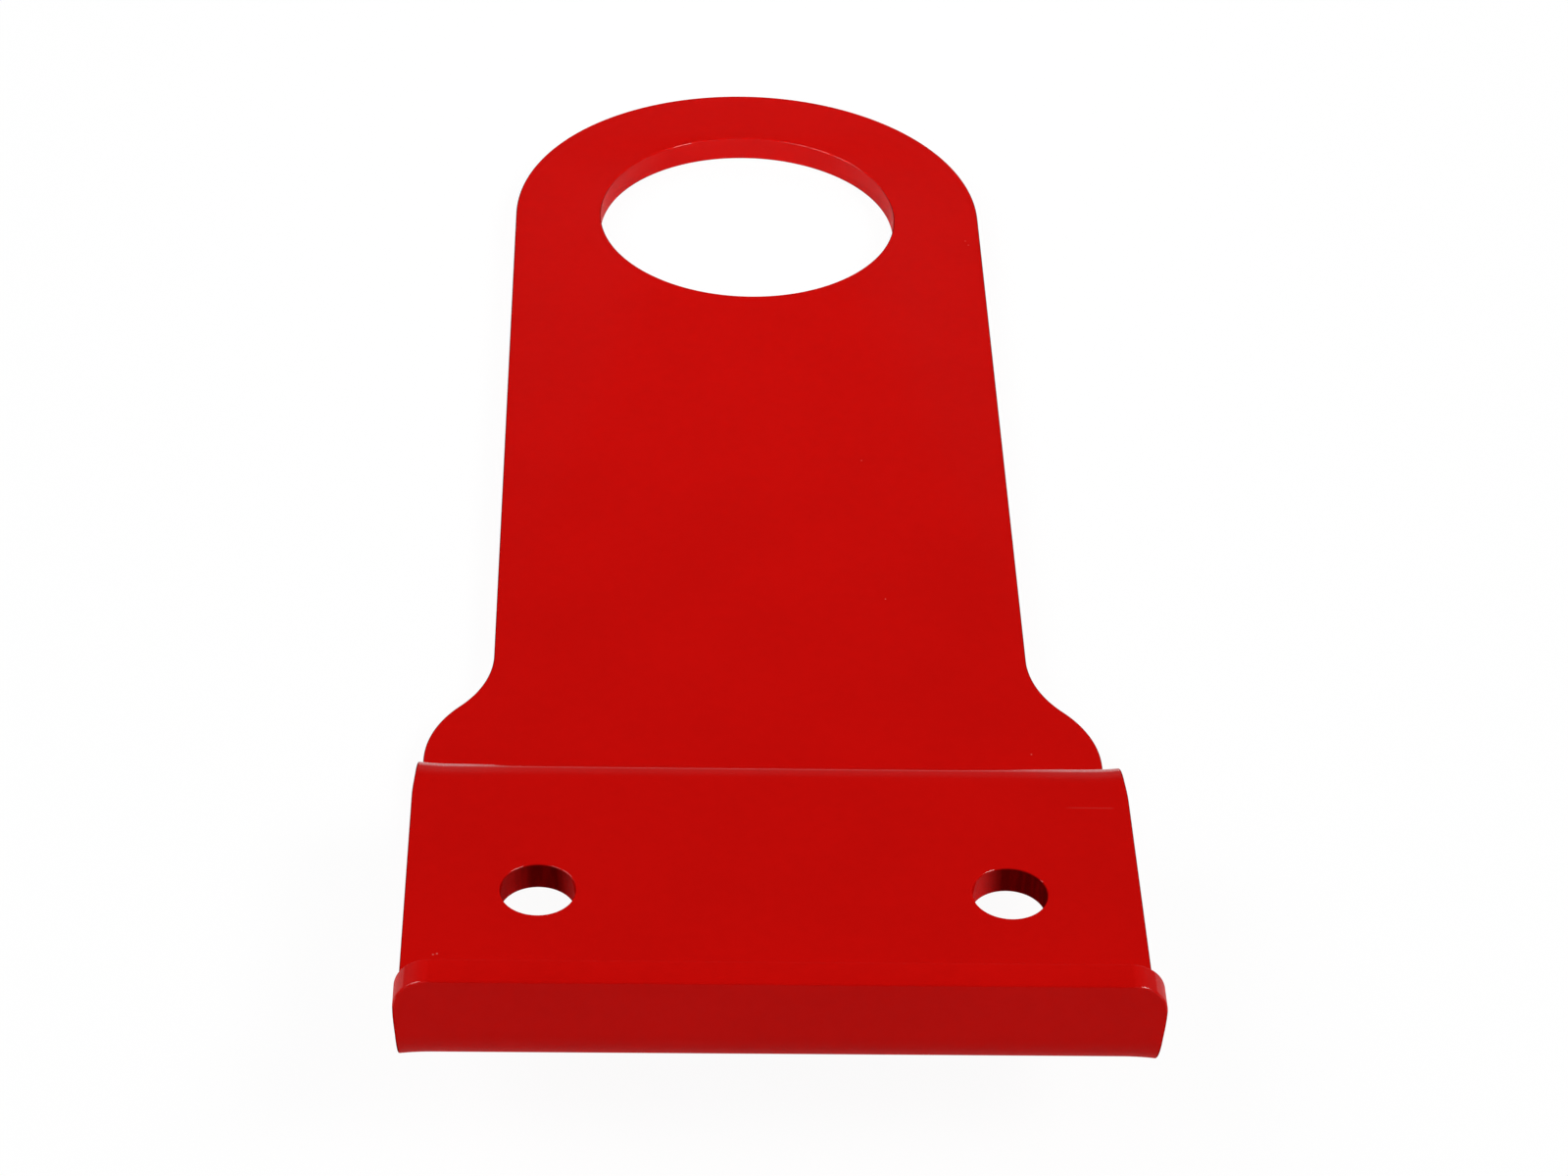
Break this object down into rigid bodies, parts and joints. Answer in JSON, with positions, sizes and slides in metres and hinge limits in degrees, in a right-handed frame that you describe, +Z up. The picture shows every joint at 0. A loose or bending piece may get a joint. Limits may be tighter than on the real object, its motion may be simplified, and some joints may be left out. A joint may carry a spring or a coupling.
{
  "type": "recovery tow hook",
  "caption": "Bent steel tow hook plate: large round towing eye on a long flat tongue, flared shoulders, stepped bolt-on base and turned-up lip, in red powder coat.",
  "frame": {"origin": "on the base's top face, halfway between the two bolt holes", "axes": "+Y along the tongue, from the bolt line to the towing eye; +Z up, out of the base's top face, the way the lip stands; +X to the right, seen from the lip"},
  "size_m": [0.1174, 0.3162, 0.0397],
  "materials": {
    "powder_coat": "glossy"
  },
  "bodies": {
    "root": {"tow_hook_plate": "powder_coat"}
  },
  "joints": []
}
